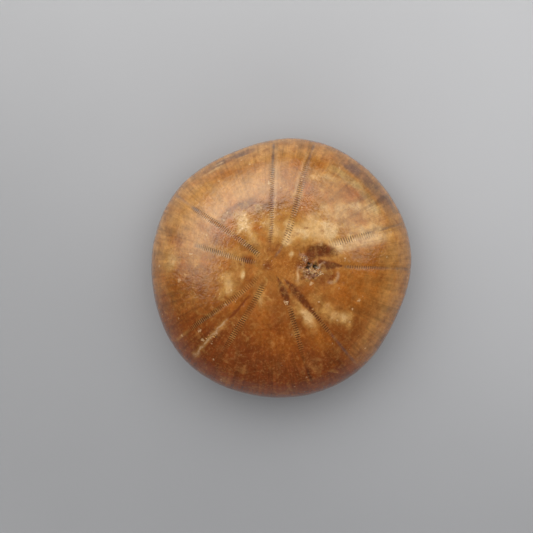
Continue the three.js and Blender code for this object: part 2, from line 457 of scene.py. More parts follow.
def upper_rings():
    turns, lengths = turns_by_length()
    rings = []
    for number, turn in enumerate(turns):
        share = float(upper_share(turn))
        bearing, row, across = mesh_lines(share)
        turn_here = np.full_like(bearing, turn)
        share_here = np.full_like(bearing, share)
        point = upper_point(turn_here, bearing)
        normal = surface_normal(upper_point, turn_here, bearing)
        show = slit_show(point, share_here, row)
        in_slit = SLIT_PROFILE[number % len(SLIT_PROFILE)]
        slit = SLIT_DEPTH * show * in_slit * bump(across, 1.15)
        groove = GROOVE_DEPTH * smooth_step(*GROOVE_START, share)
        groove = groove * bump(across, GROOVE_HALF_WIDTH / SLIT_HALF_LENGTH)
        broken = crack_depth(point, share_here, bearing) + WEDGE_DEPTH * wedge_mask(share_here, bearing)
        sunk = slit + groove + broken + hollow_depth(point) + dimple_depth(point)
        sunk = sunk + RIPPLE * waves(point, RIPPLE_LENGTH, RIPPLE_SEED)
        rings.append({
            "point": point - normal * sunk[:, None],
            "plan": point,
            "share": share_here,
            "bearing": bearing,
            "row": row,
            "slit": np.stack([
                np.full_like(bearing, number / len(SLIT_PROFILE)),
                across / SLIT_SHOW[row, 4],
                show,
            ], axis=-1),
            "length": np.full_like(bearing, lengths[number]),
        })
    return rings


def lower_ring(point, share, length):
    """A ring at or below the rim. A share above 1 tells it from the rings of the dome."""
    bearing, row, across = mesh_lines(1.0)
    far = np.stack([np.zeros_like(bearing), across, np.zeros_like(bearing)], axis=-1)
    return {
        "point": point,
        "plan": point,
        "share": np.full_like(bearing, share),
        "bearing": bearing,
        "row": row,
        "slit": far,
        "length": np.full_like(bearing, length),
    }


def lower_rings(length):
    bearing, row, across = mesh_lines(1.0)
    rings = []
    for turn in np.linspace(0.0, 90.0, MARGIN_RINGS, endpoint=False):
        turn_here = np.full_like(bearing, turn)
        point = margin_point(turn_here, bearing)
        normal = surface_normal(margin_point, turn_here, bearing)
        fade = 1.0 - smooth_step(0.0, GROOVE_END_TURN, turn)
        groove = fade * GROOVE_DEPTH * bump(across, GROOVE_HALF_WIDTH / SLIT_HALF_LENGTH)
        ripple = RIPPLE * waves(point, RIPPLE_LENGTH, RIPPLE_SEED) * (1.0 - smooth_step(60.0, 85.0, turn))
        sunk = groove + vent_depth(point) + ripple
        done = turn / 90.0
        sunk_point = point - normal * sunk[:, None]
        rings.append(lower_ring(sunk_point, 1.0 + done, length + MARGIN_LENGTH * done))
    foot = length + MARGIN_LENGTH
    for share in np.linspace(LAND_OUTER, LAND_INNER, LAND_RINGS):
        rings.append(lower_ring(plan_point(MOUTH, share, bearing, 0.0), 2.0 + share, foot))
    for share in LAND_INNER * (1.0 - np.arange(1, INNER_RINGS) / INNER_RINGS):
        point = inner_point(np.full_like(bearing, share), bearing)
        rings.append(lower_ring(point, 2.0 + share, foot))
    return rings


def stack_rings(rings):
    """One array for each quantity, with the apex first and the middle of the mouth last."""
    whole = {key: np.concatenate([ring[key] for ring in rings]) for key in rings[0]}
    apex_ring, mouth_ring = rings[0], rings[-1]
    apex = {key: apex_ring[key].mean(axis=0, keepdims=True) for key in ("point", "plan", "slit")}
    apex["slit"][:, 2] = 0.0
    mouth = {key: mouth_ring[key].mean(axis=0, keepdims=True) for key in ("point", "plan", "slit")}
    for key in whole:
        first = apex.get(key, apex_ring[key][:1])
        last = mouth.get(key, mouth_ring[key][:1])
        whole[key] = np.concatenate([first, whole[key], last])
    return whole


def skin_faces(ring_count, line_count):
    line = np.arange(line_count)
    following = (line + 1) % line_count
    top = [(0, 1 + a, 1 + b) for a, b in zip(line, following)]
    quads = []
    for ring in range(ring_count - 1):
        here = 1 + ring * line_count
        below = here + line_count
        quads += list(zip(here + line, below + line, below + following, here + following))
    last = 1 + (ring_count - 1) * line_count
    bottom = last + line_count
    quads += [(bottom, last + b, last + a) for a, b in zip(line, following)]
    return top + quads


# ---- Colours ----

def srgb(red, green, blue):
    value = np.array([red, green, blue]) / 255.0
    return np.where(value <= 0.04045, value / 12.92, ((value + 0.055) / 1.055) ** 2.4)


AMBER = srgb(144, 92, 36)
TAN = srgb(160, 114, 58)
ORANGE = srgb(144, 80, 20)
BROWN = srgb(120, 66, 20)
RUST = srgb(102, 46, 12)
UMBER = srgb(64, 34, 15)
BLACK_BROWN = srgb(28, 20, 16)
CREAM = srgb(204, 172, 126)
STRAW = srgb(176, 132, 68)
OLIVE = srgb(92, 68, 32)
MOSS = srgb(168, 140, 88)
GOLD_PAINTED_LIGHT = srgb(182, 134, 76)
MAUVE = srgb(112, 78, 58)
SLATE = srgb(84, 76, 72)
WINE = srgb(96, 42, 14)
GREY_CREAM = srgb(164, 132, 98)

# Pale, dark and orange stains in the stone, and one painted highlight among the pale ones: x, y, reach
# along, reach across, bearing of the long side, amount.
PALE_STAINS_AND_HIGHLIGHT = [
    (3.4, 7.7, 1.7, 1.1, 40, 1.0),
    (2.2, 5.7, 1.6, 0.9, 60, 0.6),
    (4.6, 3.4, 2.2, 1.1, 70, 0.75),
    (7.2, -0.8, 2.6, 1.7, -40, 0.8),
    (7.2, -3.2, 2.6, 1.6, -50, 1.0),
    (4.9, 1.0, 1.8, 1.2, 10, 0.75),
    (10.6, -3.6, 2.6, 1.6, -60, 0.5),
    (5.4, -6.2, 1.0, 0.7, -45, 0.5),
    (-5.2, 5.6, 1.5, 1.1, 60, 0.75),
    (-3.2, 4.3, 0.8, 0.3, 20, 0.9),
    (-1.2, 7.6, 1.6, 0.8, 100, 0.4),
    (-6.0, 14.5, 1.8, 1.2, 30, 0.7),
    (-5.2, 0.6, 1.1, 0.6, -150, 0.65),
    (-4.4, -6.2, 2.4, 0.8, -121, 0.75),
    (-2.4, -8.4, 1.5, 1.0, -70, 0.45),
    (-2.2, -11.0, 1.6, 1.1, -60, 0.65),
    (-1.4, -6.2, 1.2, 0.8, -60, 0.35),
    (15.4, -3.4, 4.2, 0.45, -72, 0.5),
    (12.8, -5.6, 3.6, 0.6, -62, 0.45),
    (14.4, 0.6, 1.8, 1.2, -60, 0.45),
    (13.0, -7.6, 2.4, 1.4, -60, 0.5),
    (10.8, -10.6, 2.2, 0.9, -52, 0.5),
    # Painted highlight: a pale patch where the polish shines.
    (10.0, -7.7, 2.4, 0.9, -50, 0.65),
    (11.3, 10.8, 0.7, 0.4, 120, 0.6),
    (8.6, 14.6, 0.9, 0.4, 140, 0.6),
]
DARK_STAINS = [
    (0.5, 5.5, 1.0, 0.7, 90, 0.6),
    (-0.8, 4.6, 0.8, 0.5, 100, 0.7),
    (9.7, 2.3, 0.4, 0.3, 0, 0.9),
    (-3.4, 14.8, 2.2, 1.0, 30, 0.8),
    (-11.4, 9.6, 3.0, 1.8, 60, 0.3),
    (-7.6, 9.6, 2.4, 1.4, 50, 0.35),
    (-13.4, -1.6, 4.6, 3.4, 100, 0.75),
    (-12.8, -6.6, 4.4, 3.0, 120, 0.7),
    (-8.6, -3.0, 3.4, 1.8, 80, 0.5),
    (-8.0, -8.4, 0.5, 0.35, 0, 0.9),
    (-10.9, -10.1, 0.9, 0.4, -130, 1.0),
    (-13.6, 4.4, 2.4, 1.4, 75, 0.5),
    (5.1, -13.3, 0.4, 0.3, 0, 0.7),
    (14.8, -8.0, 2.2, 0.7, -68, 0.4),
]
ORANGE_STAINS = [
    (3.4, 5.5, 0.9, 0.6, 100, 0.9),
    (9.2, 0.9, 1.8, 0.9, 10, 0.7),
    (8.6, 12.9, 5.0, 0.9, -48, 0.6),
    (13.9, -4.6, 1.6, 1.1, -60, 0.8),
    (0.4, 9.4, 1.5, 0.8, 60, 0.6),
    (-3.6, 8.0, 1.6, 0.8, 100, 0.3),
    (1.0, -1.0, 2.6, 1.6, -60, 0.5),
    (0.6, -9.8, 3.0, 1.6, -80, 0.7),
    (4.2, -11.0, 3.2, 1.8, -70, 0.5),
    (-6.4, -9.4, 2.4, 1.4, -110, 0.6),
    (-7.4, 3.2, 2.2, 1.0, 150, 0.6),
    (-7.2, -0.6, 2.6, 1.6, -150, 0.7),
    (-9.6, -4.6, 3.4, 2.2, -100, 0.7),
]

PAINTED_SHADE_SIDE = 203.0  # bearing towards which the stone is painted darker: painted shade on the side away from the main lights

# Colour that has seeped along the pore rows, and one painted highlight: row, start, end, offset, half
# width, colour, amount.
# An offset above 0 lies counter-clockwise of the row's middle.
ROW_INKS_AND_HIGHLIGHT = [
    (FRONT_LEFT_B, 0.30, 0.95, -0.50, 0.30, CREAM, 0.22),
    (FRONT_LEFT_B, 0.64, 1.00, 0.00, 0.26, SLATE, 0.85),
    (FRONT_LEFT_B, 0.12, 0.66, 0.00, 0.42, MAUVE, 0.35),
    (FRONT_LEFT_B, 0.12, 0.64, 0.00, 0.20, RUST, 0.90),
    (FRONT_LEFT_A, 0.45, 0.92, 0.55, 0.24, CREAM, 0.28),
    (FRONT_LEFT_A, 0.66, 1.00, 0.00, 0.22, SLATE, 0.65),
    (FRONT_LEFT_A, 0.04, 0.24, 0.00, 0.20, SLATE, 0.55),
    (FRONT_LEFT_A, 0.24, 0.68, 0.00, 0.42, OLIVE, 0.35),
    # Painted highlight: a pale band beside this row, where a low ridge shines.
    (REAR_LEFT_B, 0.40, 0.86, -0.95, 0.60, CREAM, 0.75),
    (REAR_LEFT_B, 0.40, 0.80, -0.20, 0.60, CREAM, 0.65),
    (REAR_LEFT_B, 0.66, 1.00, 0.30, 0.22, SLATE, 0.60),
    (REAR_LEFT_A, 0.50, 1.00, 0.00, 0.20, SLATE, 0.60),
    (REAR_RIGHT_A, 0.32, 0.70, 0.10, 0.34, UMBER, 0.50),
    (REAR_RIGHT_A, 0.58, 0.94, -0.10, 0.18, UMBER, 0.75),
    (REAR_RIGHT_A, 0.78, 0.92, -0.10, 0.26, BLACK_BROWN, 0.60),
    (REAR_RIGHT_B, 0.40, 0.66, 0.00, 0.30, UMBER, 0.45),
    (REAR_RIGHT_B, 0.60, 0.97, 0.00, 0.22, SLATE, 0.50),
    (FRONT_A, 0.08, 0.28, 0.00, 0.44, OLIVE, 0.80),
    (FRONT_A, 0.26, 0.80, 0.00, 0.36, BROWN, 0.75),
    (FRONT_A, 0.68, 1.00, 0.00, 0.26, SLATE, 0.75),
    (FRONT_B, 0.08, 0.24, 0.00, 0.40, UMBER, 0.65),
    (FRONT_B, 0.28, 0.66, 0.00, 0.50, CREAM, 0.25),
    (FRONT_B, 0.30, 0.66, 0.00, 0.30, SLATE, 0.45),
    (FRONT_RIGHT_A, 0.10, 0.50, 0.00, 0.40, BROWN, 0.50),
    (FRONT_RIGHT_A, 0.44, 0.80, 0.00, 0.34, UMBER, 0.65),
    (FRONT_RIGHT_A, 0.78, 0.98, 0.00, 0.24, TAN, 0.55),
    (FRONT_RIGHT_B, 0.12, 0.42, 0.00, 0.40, UMBER, 0.60),
    (FRONT_RIGHT_B, 0.40, 0.72, 0.00, 0.46, BROWN, 0.70),
]

# Streaks that run round the dome, some of them painted light and shade: share, reach, bearing, half arc,
# colour, amount.
RING_STREAKS_AND_PAINTED_LIGHT = [
    # Painted light: gold on the upper rim, on the right rim, and on the lower right rim where it lifts the
    # painted shade.
    (0.930, 0.220, 70.0, 58.0, GOLD_PAINTED_LIGHT, 0.75),
    (0.950, 0.140, 0.0, 45.0, GOLD_PAINTED_LIGHT, 0.50),
    (0.930, 0.170, -74.0, 48.0, GOLD_PAINTED_LIGHT, 0.45),
    # Painted highlight: gold under the top reflection.
    (0.690, 0.170, 64.0, 50.0, GOLD_PAINTED_LIGHT, 0.60),
    # Painted shade where the top reflection ends: umber and rust arcs laid over orange bands in the stone.
    (0.530, 0.050, 60.0, 22.0, UMBER, 0.70),
    (0.450, 0.045, 34.0, 16.0, UMBER, 0.60),
    (0.400, 0.045, 88.0, 10.0, RUST, 0.50),
    # The stone's own bands and streaks at the rim.
    (0.925, 0.052, -19.0, 21.0, MAUVE, 0.95),
    (0.925, 0.040, -26.0, 14.0, UMBER, 0.45),
    (0.840, 0.036, -18.0, 22.0, MOSS, 0.75),
    (0.960, 0.024, -30.0, 9.0, SLATE, 0.50),
    (0.940, 0.024, 60.0, 9.0, SLATE, 0.55),
    (0.945, 0.030, 51.0, 13.0, MAUVE, 0.80),
    (0.940, 0.024, 43.0, 6.0, SLATE, 0.50),
    (0.915, 0.012, 62.0, 5.0, CREAM, 0.50),
    (0.945, 0.010, 57.0, 3.0, CREAM, 0.50),
]


def ellipse_mask(point, x, y, along, across, bearing):
    dx = point[..., 0] - x
    dy = point[..., 1] - y
    u = (dx * cos_deg(bearing) + dy * sin_deg(bearing)) / along
    v = (dy * cos_deg(bearing) - dx * sin_deg(bearing)) / across
    ragged = 1.0 + 0.25 * waves(point, 1.8, 21)
    return bump(np.hypot(u, v) * ragged, 1.7)


def stain_mask(skin, stains):
    total = np.zeros(len(skin["plan"]))
    for x, y, along, across, turned, amount in stains:
        mask = amount * ellipse_mask(skin["plan"], x, y, along, across, turned)
        total = 1.0 - (1.0 - total) * (1.0 - mask)
    return total * (skin["share"] <= 1.0)


def mix(base, colour, amount):
    return base + (colour - base) * np.clip(amount, 0.0, 1.0)[..., None]


def arc_mask(skin, share, reach, bearing, half_arc):
    near = 1.0 - smooth_step(0.35, 1.0, np.abs(skin["share"] - share) / reach)
    return near * (1.0 - smooth_step(0.55, 1.0, angle_between(skin["bearing"], bearing) / half_arc))


def paint_body(skin, pale, dark, orange):
    """Base colour of each point: slow drifts of tone, painted shade on the side away from the main lights,
    the rim, painted light, highlight and shade in some ring streaks and row inks, the rows and the broken
    hollow with its painted shade.
    """
    point, share, bearing = skin["plan"], skin["share"], skin["bearing"]
    paint = np.broadcast_to(AMBER, point.shape).copy()
    paint = mix(paint, TAN, 0.6 * smooth_step(-0.2, 1.2, waves(point, 7.0, 31)))
    paint = mix(paint, BROWN, 0.6 * smooth_step(0.0, 1.4, waves(point, 5.0, 32)))
    paint = mix(paint, ORANGE, 0.6 * smooth_step(0.0, 1.2, waves(point, 3.2, 33)))
    # Painted shade: browner and rustier towards the side away from the main lights.
    toward_painted_shade = point[..., 0] * cos_deg(PAINTED_SHADE_SIDE) + point[..., 1] * sin_deg(PAINTED_SHADE_SIDE)
    paint = mix(paint, BROWN, 0.8 * smooth_step(-4.0, 10.0, toward_painted_shade))
    paint = mix(paint, RUST, 0.90 * smooth_step(2.0, 14.0, toward_painted_shade))
    paint = mix(paint, ORANGE, 0.6 * orange)
    paint = mix(paint, RUST, 0.5 * dark)
    paint = mix(paint, STRAW, 0.8 * pale)
    paint = mix(paint, CREAM, 0.5 * smooth_step(0.3, 1.0, pale))
    # Ring streaks: the stone's own bands, and painted light, highlight and shade.
    for at, reach, turned, half_arc, colour, amount in RING_STREAKS_AND_PAINTED_LIGHT:
        ragged = lerp(0.55, 1.0, smooth_step(-0.7, 0.5, waves(point, 2.2, 34)))
        paint = mix(paint, colour, amount * ragged * arc_mask(skin, at, reach, turned, half_arc))
    # Row inks: seeped colour, and one painted highlight.
    for row, start, end, offset, half_width, colour, amount in ROW_INKS_AND_HIGHLIGHT:
        across = np.abs(across_course(share, bearing, ROW_RIMS[row], ROW_TWISTS[row]) - offset)
        run = smooth_step(start, start + 0.06, share) * (1.0 - smooth_step(end - 0.06, end, share))
        run = run * lerp(0.6, 1.0, smooth_step(-0.6, 0.6, waves(point, 1.8, 50 + row)))
        paint = mix(paint, colour, amount * run * bump(across, half_width * 1.5))
    nest = nest_mask(point, share, bearing) * (share <= 1.0)
    paint = mix(paint, RUST, 0.5 * nest)
    paint = mix(paint, UMBER, 0.9 * nest * smooth_step(-0.2, 0.5, waves(point, 0.6, 42)))
    red_spot = bump(np.hypot(point[..., 0] + 0.5, point[..., 1] - 1.8), 1.1) * (share <= 1.0)
    paint = mix(paint, WINE, 0.9 * red_spot)
    paint = paint_hollow(paint, point, share)
    wedge = wedge_mask(share, bearing) * lerp(0.75, 1.0, smooth_step(-0.5, 0.5, waves(point, 0.6, 36)))
    return mix(mix(paint, WINE, 0.9 * wedge), UMBER, 0.5 * smooth_step(0.5, 1.0, wedge))


def paint_hollow(paint, point, share):
    on_top = share <= 1.0
    out, side = hollow_axes(point)
    patchy = smooth_step(-0.5, 0.6, waves(point, 0.8, 46))
    inside = on_top * (1.0 - smooth_step(0.85, 1.10, hollow_reach(point)))
    paint = mix(paint, BROWN, 0.55 * inside * smooth_step(-0.6, 0.5, waves(point, 1.1, 45)))
    floor = on_top * floor_mask(point)
    reddish = bump(np.hypot((out + 2.35) / 0.9, (side + 0.1) / 1.5), 1.3)
    paint = mix(paint, RUST, 0.95 * on_top * reddish)
    below = bump(np.hypot((out - 0.6) / 2.8, (side + 1.7) / 1.4), 1.3)
    paint = mix(paint, RUST, 0.65 * on_top * below * lerp(0.6, 1.0, patchy))
    paint = mix(paint, RUST, 0.7 * floor)
    paint = mix(paint, UMBER, 0.85 * floor * lerp(0.4, 1.0, patchy))
    # The brow is painted dark rust and umber: partly the broken stone's own colour, partly painted shade on
    # the steep wall.
    brow = on_top * (1.0 - smooth_step(0.55, 1.15, brow_reach(point)))
    paint = mix(paint, RUST, 0.95 * brow)
    paint = mix(paint, UMBER, 0.55 * smooth_step(0.3, 1.0, brow) * lerp(0.8, 1.0, patchy))
    ledge = on_top * bump(np.hypot((out - 1.6) / 2.0, (side - 1.0) / 0.42), 1.2)
    paint = mix(paint, TAN, 0.6 * ledge)
    tail = on_top * tail_mask(point)
    paint = mix(paint, WINE, 0.9 * tail)
    paint = mix(paint, UMBER, 0.55 * tail * smooth_step(0.5, 1.0, tail))
    gold = floor * smooth_step(0.1, 0.7, waves(point, 0.5, 43))
    paint = mix(paint, STRAW, 0.6 * gold)
    # The pits are painted near black: painted shade in the deep pits.
    paint = mix(paint, BLACK_BROWN, on_top * smooth_step(0.25, 0.6, pit_mask(point)))
    scar_line = np.abs(out + 2.42 + 0.12 * waves(point, 0.9, 48))
    scar = bump(scar_line, 0.24) * bump(np.abs(side + 1.2), 1.7)
    paint = mix(paint, CREAM, 0.6 * on_top * scar)
    from_dip = np.hypot(out - 2.25, side + 1.4)
    paint = mix(paint, RUST, 0.9 * on_top * bump(from_dip, 1.0))
    arc = bump(np.abs(from_dip - 0.95), 0.32) * smooth_step(-0.3, 0.4, out - side - 3.9)
    return np.clip(mix(paint, GREY_CREAM, 0.85 * on_top * arc), 0.0, 1.0)


def zone_masks(skin):
    """How broken, how veined and how streaked the stone is at each point."""
    point, share, bearing = skin["plan"], skin["share"], skin["bearing"]
    on_top = share <= 1.0
    floor = on_top * 0.7 * floor_mask(point)
    broken = np.maximum(floor, 0.5 * nest_mask(point, share, bearing))
    from_apex = np.hypot(point[..., 0] - 0.9, point[..., 1] + 0.6)
    vein = on_top * bump(from_apex, 5.0)
    streak = smooth_step(0.35, 0.9, share)
    return np.stack([broken, vein, streak], axis=-1)


# ---- Blender objects ----

def add_mesh(name, points_mm, faces):
    mesh = bpy.data.meshes.new(name)
    mesh.from_pydata((points_mm * MM).tolist(), [], [tuple(int(i) for i in face) for face in faces])
    mesh.validate()
    mesh.shade_smooth()
    thing = bpy.data.objects.new(name, mesh)
    bpy.context.scene.collection.objects.link(thing)
    return thing


def add_attribute(thing, name, kind, values):
    attribute = thing.data.attributes.new(name, kind, "POINT")
    key = {"FLOAT": "value", "FLOAT_VECTOR": "vector", "FLOAT_COLOR": "color"}[kind]
    attribute.data.foreach_set(key, np.ascontiguousarray(values, dtype=np.float32).ravel())


def add_paint(thing, colours):
    opaque = np.concatenate([colours, np.ones((len(colours), 1))], axis=1)
    add_attribute(thing, "paint", "FLOAT_COLOR", opaque)


FIBRE_STRETCH = 0.09  # the streaks are drawn out down the dome by the inverse of this


def build_body():
    top = upper_rings()
    rings = top + lower_rings(top[-1]["length"][0])
    skin = stack_rings(rings)
    low = skin["point"].min(axis=0)
    high = skin["point"].max(axis=0)
    cad_middle = np.array([(node_low[k] + node_high[k]) / 2.0 / MM for k in range(2)] + [0.0])
    own_middle = np.array([(low[0] + high[0]) / 2.0, (low[1] + high[1]) / 2.0, 0.0])
    shift = cad_middle - own_middle
    body = add_mesh("sand_dollar_test", skin["point"] + shift, skin_faces(len(rings), len(rings[0]["row"])))
    # The pale stains include one painted highlight.
    stains = [stain_mask(skin, group) for group in (PALE_STAINS_AND_HIGHLIGHT, DARK_STAINS, ORANGE_STAINS)]
    in_hollow = 1.0 - smooth_step(0.6, 1.0, hollow_reach(skin["plan"]))
    covered = np.maximum(wedge_mask(skin["share"], skin["bearing"]), in_hollow)
    stains = [stain * (1.0 - 0.9 * covered) for stain in stains]
    add_paint(body, paint_body(skin, *stains))
    add_attribute(body, "stain", "FLOAT_VECTOR", np.stack(stains, axis=-1))
    add_attribute(body, "zone", "FLOAT_VECTOR", zone_masks(skin))
    add_attribute(body, "slit", "FLOAT_VECTOR", skin["slit"])
    add_attribute(body, "strands", "FLOAT", SLIT_SHOW[skin["row"], 3])
    on_top = skin["share"] <= 1.0
    crack = np.stack([
        crack_distance(skin["plan"], skin["share"], skin["bearing"]),
        on_top * along_run(skin["share"], CREASE, 0.08),
        on_top * along_run(skin["share"], CRACK, 0.06),
    ], axis=-1)
    add_attribute(body, "crack", "FLOAT_VECTOR", crack)
    fibre = np.stack([
        MEAN_RADIUS * cos_deg(skin["bearing"]),
        MEAN_RADIUS * sin_deg(skin["bearing"]),
        FIBRE_STRETCH * skin["length"],
    ], axis=-1)
    add_attribute(body, "fibre", "FLOAT_VECTOR", fibre)
    return body, skin, shift


# Small calcite crystals: middle, spread along "out" and "side", count, smallest and largest size.
# The middles of the first ones are in the hollow's own axes, and those of the far ones in the plan.
CRYSTAL_NESTS = [
    ((-0.5, -0.80), (1.2, 0.4), 40, 0.12, 0.24),
    ((-1.7, 0.6), (0.45, 0.9), 26, 0.12, 0.24),
    ((0.55, -1.0), (0.45, 0.50), 18, 0.20, 0.38),
    ((-0.6, -2.0), (1.1, 0.5), 8, 0.08, 0.16),
]
FAR_NESTS = [
    ((-13.2, 4.3), (0.9, 0.6), 20, 0.09, 0.20),
    ((-3.9, -3.0), (0.10, 0.22), 4, 0.16, 0.24),
    ((-3.1, -6.6), (0.08, 0.08), 2, 0.14, 0.20),
]
CRYSTAL_COLOURS = np.array([CREAM, STRAW, GREY_CREAM, TAN, ORANGE, BROWN, UMBER])
CRYSTAL_CHANCES = (0.22, 0.20, 0.12, 0.14, 0.12, 0.12, 0.08)
CORNERS = 8
RHOMB_LEAN = 0.26  # how far a calcite rhomb leans from a cube
SUNK_SHARE = 0.45  # how far a crystal's middle lies below the surface, as a share of its size
RHOMB_FACES = ((0, 2, 3, 1), (4, 5, 7, 6), (0, 1, 5, 4), (2, 6, 7, 3), (0, 4, 6, 2), (1, 3, 7, 5))


def rhomb(middle, size, turn):
    corners = np.array([(x, y, z) for z in (-0.5, 0.5) for y in (-0.5, 0.5) for x in (-0.5, 0.5)])
    leaning = corners + RHOMB_LEAN * (corners.sum(axis=1, keepdims=True) - corners)
    return middle + size * leaning @ turn.T


def random_turn(draw):
    rotation, _ = np.linalg.qr(draw.normal(size=(3, 3)))
    return rotation * np.sign(np.linalg.det(rotation))


def build_crystals(skin, shift):
    draw = np.random.default_rng(77)
    on_top = skin["share"] <= 1.0
    plan = skin["plan"][on_top][:, :2]
    surface = skin["point"][on_top]
    out = np.array([cos_deg(HOLLOW_OUT), sin_deg(HOLLOW_OUT)])
    side = np.array([-out[1], out[0]])
    points, faces, colours = [], [], []
    near_nests = [(HOLLOW + out * at[0] + side * at[1], *rest) for at, *rest in CRYSTAL_NESTS]
    for middle, spread, count, smallest, largest in near_nests + FAR_NESTS:
        for _ in range(count):
            angle = draw.uniform(0.0, 2.0 * np.pi)
            away = np.sqrt(draw.uniform(0.08, 1.0))
            offset = out * spread[0] * away * np.cos(angle) + side * spread[1] * away * np.sin(angle)
            nearest = np.argmin(((plan - middle - offset) ** 2).sum(axis=1))
            size = draw.uniform(smallest, largest)
            start = CORNERS * len(colours)
            middle_point = surface[nearest] - np.array([0.0, 0.0, SUNK_SHARE * size])
            points.append(rhomb(middle_point, size, random_turn(draw)))
            faces += [tuple(start + corner for corner in face) for face in RHOMB_FACES]
            colours.append(CRYSTAL_COLOURS[draw.choice(len(CRYSTAL_COLOURS), p=CRYSTAL_CHANCES)])
    crystals = add_mesh("calcite_crystals", np.concatenate(points) + shift, faces)
    for polygon in crystals.data.polygons:
        polygon.use_smooth = False
    add_paint(crystals, np.repeat(np.array(colours), CORNERS, axis=0))
    return crystals


# ---- Material ----

ROUGHEST_STONE = 0.42
ROUGHEST_SLIT = 0.22
STONE_IOR = 1.55
CALCITE_IOR = 1.6


class Graph:
    """Short calls for adding and linking shader nodes."""

    def __init__(self, name):
        self.material = bpy.data.materials.new(name)
        self.material.use_nodes = True
        self.nodes = self.material.node_tree.nodes
        self.links = self.material.node_tree.links
        self.shader = self.nodes["Principled BSDF"]

    def put(self, value, socket):
        if isinstance(value, bpy.types.NodeSocket):
            self.links.new(value, socket)
        else:
            socket.default_value = value

    def attribute(self, name, output):
        node = self.nodes.new("ShaderNodeAttribute")
        node.attribute_name = name
        return node.outputs[output]

    def noise(self, vector, scale, detail=4.0, roughness=0.55, distortion=0.0):
        node = self.nodes.new("ShaderNodeTexNoise")
        node.inputs["Scale"].default_value = scale
        node.inputs["Detail"].default_value = detail
        node.inputs["Roughness"].default_value = roughness
        node.inputs["Distortion"].default_value = distortion
        self.links.new(vector, node.inputs["Vector"])
        return node.outputs["Fac"]

    def voronoi(self, vector, scale, output):
        node = self.nodes.new("ShaderNodeTexVoronoi")
        node.feature = "F1"
        node.inputs["Scale"].default_value = scale
        self.links.new(vector, node.inputs["Vector"])
        return node.outputs[output]

    def math(self, operation, a, b=0.0, clamp=False):
        node = self.nodes.new("ShaderNodeMath")
        node.operation = operation
        node.use_clamp = clamp
        self.put(a, node.inputs[0])
        self.put(b, node.inputs[1])
        return node.outputs[0]

    def times(self, a, b, clamp=False):
        return self.math("MULTIPLY", a, b, clamp)

    def ramp(self, value, low, high, out_low=0.0, out_high=1.0):
        node = self.nodes.new("ShaderNodeMapRange")
        node.interpolation_type = "SMOOTHSTEP"
        self.put(value, node.inputs["Value"])
        node.inputs["From Min"].default_value = low
        node.inputs["From Max"].default_value = high
        node.inputs["To Min"].default_value = out_low
        node.inputs["To Max"].default_value = out_high
        return node.outputs["Result"]

    def mix(self, factor, a, b, blend="MIX"):
        node = self.nodes.new("ShaderNodeMix")
        node.data_type = "RGBA"
        node.blend_type = blend
        self.put(factor, node.inputs["Factor"])
        self.put(a, node.inputs["A"])
        self.put(b, node.inputs["B"])
        return node.outputs["Result"]

    def over(self, base, colour, factor):
        """One flat colour over the base, as strongly as the factor says."""
        return self.mix(factor, base, (*[float(c) for c in colour], 1.0))

    def grey(self, value):
        node = self.nodes.new("ShaderNodeCombineColor")
        for socket in node.inputs[:3]:
            self.links.new(value, socket)
        return node.outputs[0]

    def separate(self, vector):
        node = self.nodes.new("ShaderNodeSeparateXYZ")
        self.links.new(vector, node.inputs[0])
        return node.outputs

    def bump(self, height, strength, distance, normal=None):
        node = self.nodes.new("ShaderNodeBump")
        node.inputs["Strength"].default_value = strength
        node.inputs["Distance"].default_value = distance
        self.links.new(height, node.inputs["Height"])
        if normal is not None:
            self.links.new(normal, node.inputs["Normal"])
        return node.outputs["Normal"]


